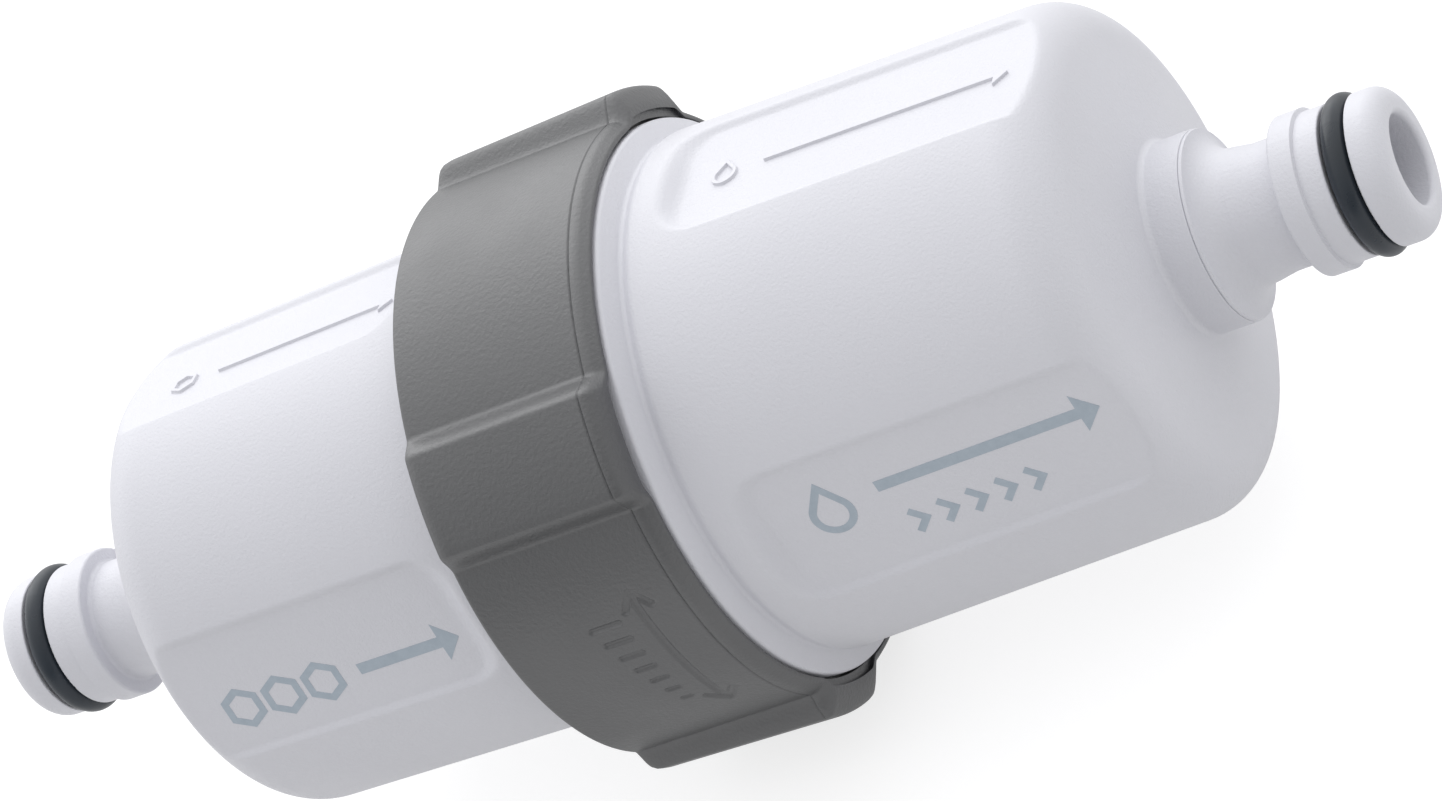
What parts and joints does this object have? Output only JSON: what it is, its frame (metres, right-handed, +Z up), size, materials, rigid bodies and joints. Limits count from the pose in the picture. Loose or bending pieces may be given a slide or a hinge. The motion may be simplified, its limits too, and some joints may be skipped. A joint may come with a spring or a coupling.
{
  "type": "inline water filter",
  "caption": "Inline water filter with two cup housings joined by a lobed union nut, a carbon and a membrane stage inside, and a quick-connect hose nipple on each end.",
  "frame": {"origin": "on the flow axis, midway between the two nipple tips", "axes": "+X along the flow axis from inlet to outlet, +Z up as the filter lies on a table between two of the nut's lobes, +Y completes the right-handed frame"},
  "size_m": [0.165, 0.0622, 0.0623],
  "materials": {
    "white_housing": "satin moulded, very fine grain",
    "grey_nut": "fine spark-eroded grain",
    "black_rubber": "smooth, lightly greased",
    "inner_plastic": "smooth moulded",
    "membrane_fibre": "matt hollow fibres",
    "potting_resin": "cast resin, cut face",
    "activated_carbon": "porous pressed granules",
    "fleece": "non-woven"
  },
  "bodies": {
    "outlet_half": {"outlet_housing": "white_housing", "outlet_nipple": "white_housing", "outlet_nipple_o_ring": "black_rubber", "membrane_casing": "inner_plastic", "membrane_inlet_grid": "inner_plastic", "membrane_fibres": "membrane_fibre", "membrane_potting": "potting_resin", "membrane_outlet_cap": "inner_plastic", "membrane_neck_o_ring": "black_rubber"},
    "inlet_half": {"inlet_housing": "white_housing", "inlet_nipple": "white_housing", "inlet_nipple_o_ring": "black_rubber", "housing_o_ring": "black_rubber", "inlet_strainer": "inner_plastic", "carbon_closed_cap": "inner_plastic", "carbon_block": "activated_carbon", "carbon_fleece": "fleece", "carbon_core_tube": "inner_plastic", "carbon_outlet_cap": "inner_plastic", "carbon_neck_o_ring": "black_rubber", "inlet_end_plate": "inner_plastic", "end_plate_o_ring": "black_rubber"},
    "nut": {"union_nut": "grey_nut"}
  },
  "joints": [
    {"name": "half_separation", "type": "slide", "parent": "outlet_half", "child": "inlet_half", "axis": [-1, 0, 0], "range_m": [0, 0.0097]},
    {"name": "nut_spin", "type": "hinge", "parent": "inlet_half", "child": "nut", "pos_m": [-0.003, 0, 0], "axis": [-1, 0, 0], "range_deg": [0, 864]}
  ],
  "couplings": [
    {"joint": "half_separation", "follows": "nut_spin", "m_per_rad": 0.00063662}
  ]
}
